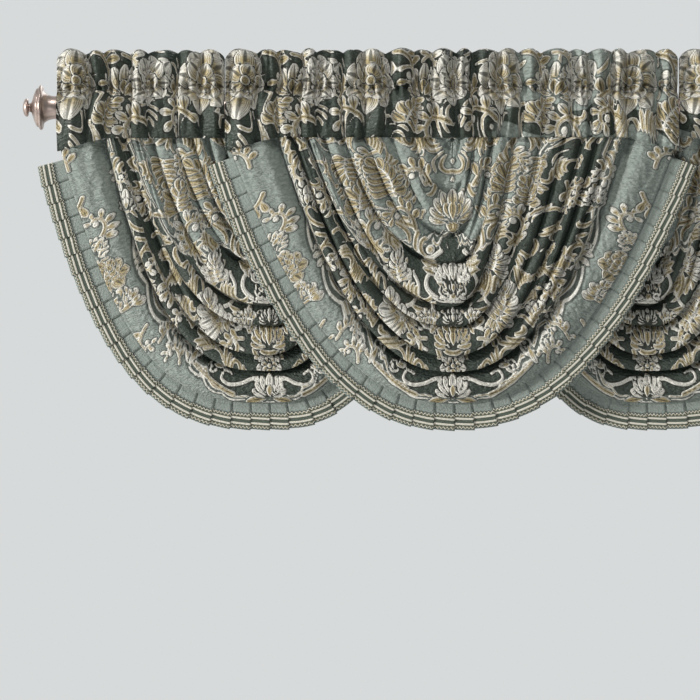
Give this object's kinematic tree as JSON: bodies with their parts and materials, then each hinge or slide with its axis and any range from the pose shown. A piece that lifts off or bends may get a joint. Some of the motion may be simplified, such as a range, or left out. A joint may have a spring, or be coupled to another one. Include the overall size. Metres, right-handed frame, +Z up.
{
  "type": "waterfall valance on curtain rod",
  "caption": "Window valance of overlapping draped swags with gathered rod-pocket headings and a pleated, braided edge, on a straight rod with turned finials.",
  "frame": {"origin": "on the rod's axis, straight above the lowest point of the middle swag", "axes": "+X along the rod, to the right as seen from the room; +Z up; -Y towards the room"},
  "size_m": [1.1331, 0.0822, 0.4935],
  "materials": {
    "damask": "woven damask, sage and dark green ground with raised ivory and gold-beige scrolls and flowers, soft satin sheen",
    "heading_damask": "woven damask, mostly its dark green ground with raised ivory and gold-beige flowers, gathered",
    "frill_cloth": "plain sage cloth, finely crinkled, pressed in knife pleats",
    "braid": "flat woven braid, dark green with ivory lines and ivory and gold picots on both edges",
    "rod_metal": "brushed champagne nickel"
  },
  "bodies": {
    "root": {"rod": "rod_metal", "finial_left": "rod_metal", "finial_right": "rod_metal", "heading_left": "heading_damask", "heading_middle": "heading_damask", "heading_right": "heading_damask", "swag_left": "damask", "swag_middle": "damask", "swag_right": "damask", "frill_left": "frill_cloth", "frill_middle": "frill_cloth", "frill_right": "frill_cloth", "braid_left": "braid", "braid_middle": "braid", "braid_right": "braid"}
  },
  "joints": []
}
